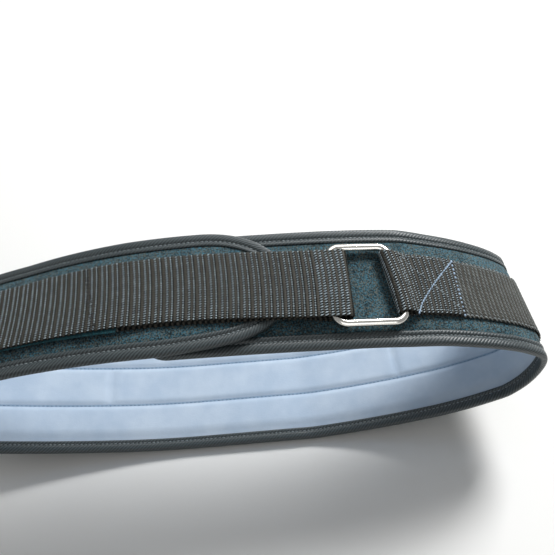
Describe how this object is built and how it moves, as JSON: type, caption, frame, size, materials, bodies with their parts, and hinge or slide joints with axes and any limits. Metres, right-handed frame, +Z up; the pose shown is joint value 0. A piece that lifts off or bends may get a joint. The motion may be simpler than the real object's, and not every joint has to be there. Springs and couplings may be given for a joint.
{
  "type": "weightlifting belt",
  "caption": "Padded lifting belt, closed in a loop and lying on its back panel, with webbing folded through a rectangular wire ring and fastened over the front.",
  "frame": {"origin": "centre of the bounding box on the plane that the back panel rests on", "axes": "+X along the ring panel towards the stitched box, +Y away from the near opening along the axis of the loop, +Z up"},
  "size_m": [0.47, 0.1006, 0.1478],
  "materials": {
    "outer_fabric": "dark heathered woven fabric over foam",
    "lining_fabric": "pale brushed lining",
    "binding_tape": "dark twill tape, folded and stitched",
    "webbing": "ribbed woven nylon webbing",
    "strap_webbing": "ribbed woven nylon webbing",
    "loop_pile": "soft looped pile",
    "ring_steel": "polished plating"
  },
  "bodies": {
    "root": {"padded_body": "outer_fabric", "lining": "lining_fabric", "edge_binding": "binding_tape", "sewn_webbing": "webbing", "fastening_strap": "strap_webbing", "loop_patch": "loop_pile", "ring": "ring_steel"}
  },
  "joints": []
}
